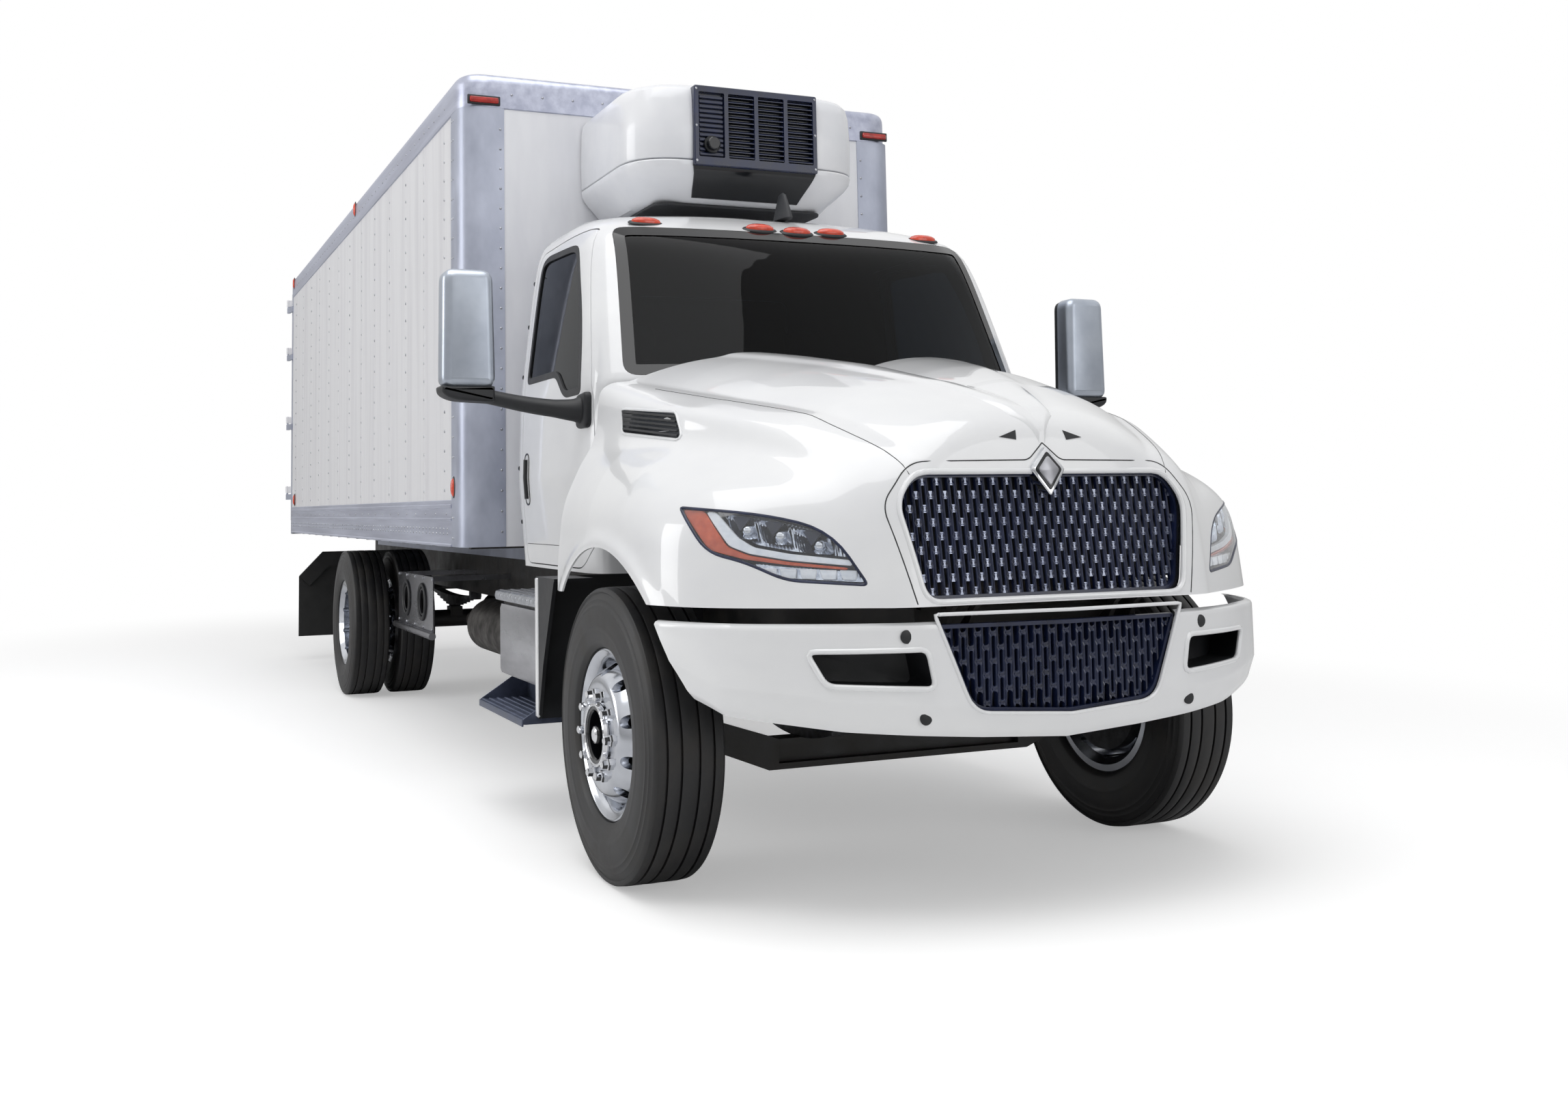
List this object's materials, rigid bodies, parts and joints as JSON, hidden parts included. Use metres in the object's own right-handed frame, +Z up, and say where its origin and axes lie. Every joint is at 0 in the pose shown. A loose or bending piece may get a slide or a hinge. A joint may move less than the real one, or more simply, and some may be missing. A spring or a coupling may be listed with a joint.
{
  "type": "refrigerated truck",
  "caption": "Two-axle delivery truck with a tilting hood, insulated van body with swing rear doors and a nose-mounted refrigeration unit.",
  "frame": {"origin": "on the ground at the middle of the truck's length and width", "axes": "+X towards the front bumper, +Y to the driver's left, +Z up"},
  "size_m": [10.135, 3.2, 3.486],
  "materials": {
    "chassis_paint": "satin",
    "spring_steel": "matte",
    "engine_metal": "matte",
    "cab_paint": "gloss",
    "moulded_white": "gloss",
    "glazing": "gloss",
    "lamp_lens": "gloss",
    "grille_plastic": "satin",
    "black_plastic": "matte",
    "mirror_shell": "satin",
    "seat_cloth": "matte",
    "brushed_aluminium": "satin",
    "muffler_steel": "satin",
    "body_panel": "gloss",
    "bright_steel": "satin",
    "rubber_flap": "matte",
    "wheel_aluminium": "polished",
    "tyre_rubber": "matte"
  },
  "bodies": {
    "chassis": {"frame_rails": "chassis_paint", "crossmembers": "chassis_paint", "floor_beams": "chassis_paint", "body_sills": "chassis_paint", "front_axle": "chassis_paint", "front_springs": "spring_steel", "rear_axle": "chassis_paint", "rear_springs": "spring_steel", "driveshaft": "spring_steel", "engine_block": "engine_metal", "radiator": "engine_metal", "cab_shell": "cab_paint", "cab_glass": "glazing", "dashboard": "black_plastic", "steering_wheel": "black_plastic", "seats": "seat_cloth", "hood_hinge": "chassis_paint", "front_bumper": "moulded_white", "bumper_grille": "grille_plastic", "splash_guards": "black_plastic", "battery_box": "brushed_aluminium", "fuel_tank": "brushed_aluminium", "cab_steps": "brushed_aluminium", "muffler": "muffler_steel", "equipment_panel": "brushed_aluminium", "box_floor": "body_panel", "box_front_wall": "body_panel", "box_side_walls": "body_panel", "box_roof": "body_panel", "box_rear_frame": "bright_steel", "refrigeration_unit": "moulded_white", "underride_guard": "chassis_paint", "mud_flaps": "rubber_flap"},
    "hood": {"hood": "moulded_white", "grille": "grille_plastic", "headlamps": "lamp_lens"},
    "cab_door_left": {"cab_door_left": "cab_paint", "door_glass_left": "glazing", "door_mirror_left": "mirror_shell"},
    "rear_door_left": {"rear_door_left": "body_panel"},
    "cab_door_right": {"cab_door_right": "cab_paint", "door_glass_right": "glazing", "door_mirror_right": "mirror_shell"},
    "rear_door_right": {"rear_door_right": "body_panel"},
    "knuckle_left": {"knuckle_left": "chassis_paint"},
    "knuckle_right": {"knuckle_right": "chassis_paint"},
    "tie_rod": {"tie_rod": "chassis_paint"},
    "front_left_wheel": {"front_left_wheel": "wheel_aluminium", "front_left_tyre": "tyre_rubber"},
    "rear_left_wheels": {"rear_left_wheels": "wheel_aluminium", "rear_left_tyres": "tyre_rubber"},
    "front_right_wheel": {"front_right_wheel": "wheel_aluminium", "front_right_tyre": "tyre_rubber"},
    "rear_right_wheels": {"rear_right_wheels": "wheel_aluminium", "rear_right_tyres": "tyre_rubber"}
  },
  "joints": [
    {"name": "hood_tilt", "type": "hinge", "parent": "chassis", "child": "hood", "pos_m": [4.9655, 0, 1], "axis": [0, 1, 0], "range_deg": [0, 70]},
    {"name": "cab_door_left_swing", "type": "hinge", "parent": "chassis", "child": "cab_door_left", "pos_m": [3.3485, 1.022, 1.445], "axis": [0, 0, -1], "range_deg": [0, 70]},
    {"name": "rear_door_left_swing", "type": "hinge", "parent": "chassis", "child": "rear_door_left", "pos_m": [-5.0425, 1.239, 2.3], "axis": [0, 0, -1], "range_deg": [0, 270]},
    {"name": "cab_door_right_swing", "type": "hinge", "parent": "chassis", "child": "cab_door_right", "pos_m": [3.3485, -1.022, 1.445], "axis": [0, 0, 1], "range_deg": [0, 70]},
    {"name": "rear_door_right_swing", "type": "hinge", "parent": "chassis", "child": "rear_door_right", "pos_m": [-5.0425, -1.239, 2.3], "axis": [0, 0, 1], "range_deg": [0, 270]},
    {"name": "steer_left", "type": "hinge", "parent": "chassis", "child": "knuckle_left", "pos_m": [3.9625, 0.905, 0.514], "axis": [0, 0, 1], "range_deg": [-40, 40]},
    {"name": "steer_right", "type": "hinge", "parent": "chassis", "child": "knuckle_right", "pos_m": [3.9625, -0.905, 0.514], "axis": [0, 0, 1], "range_deg": [-40, 40]},
    {"name": "tie_rod_pivot", "type": "hinge", "parent": "knuckle_left", "child": "tie_rod", "pos_m": [3.7325, 0.905, 0.39], "axis": [0, 0, 1], "range_deg": [-40, 40]},
    {"name": "front_left_spin", "type": "hinge", "parent": "knuckle_left", "child": "front_left_wheel", "pos_m": [3.9625, 1.055, 0.514], "axis": [0, 1, 0], "continuous": true},
    {"name": "rear_left_spin", "type": "hinge", "parent": "chassis", "child": "rear_left_wheels", "pos_m": [-1.8175, 0.925, 0.514], "axis": [0, 1, 0], "continuous": true},
    {"name": "front_right_spin", "type": "hinge", "parent": "knuckle_right", "child": "front_right_wheel", "pos_m": [3.9625, -1.055, 0.514], "axis": [0, 1, 0], "continuous": true},
    {"name": "rear_right_spin", "type": "hinge", "parent": "chassis", "child": "rear_right_wheels", "pos_m": [-1.8175, -0.925, 0.514], "axis": [0, 1, 0], "continuous": true}
  ],
  "couplings": [
    {"joint": "steer_right", "follows": "steer_left", "ratio": 1},
    {"joint": "tie_rod_pivot", "follows": "steer_left", "ratio": -1}
  ]
}
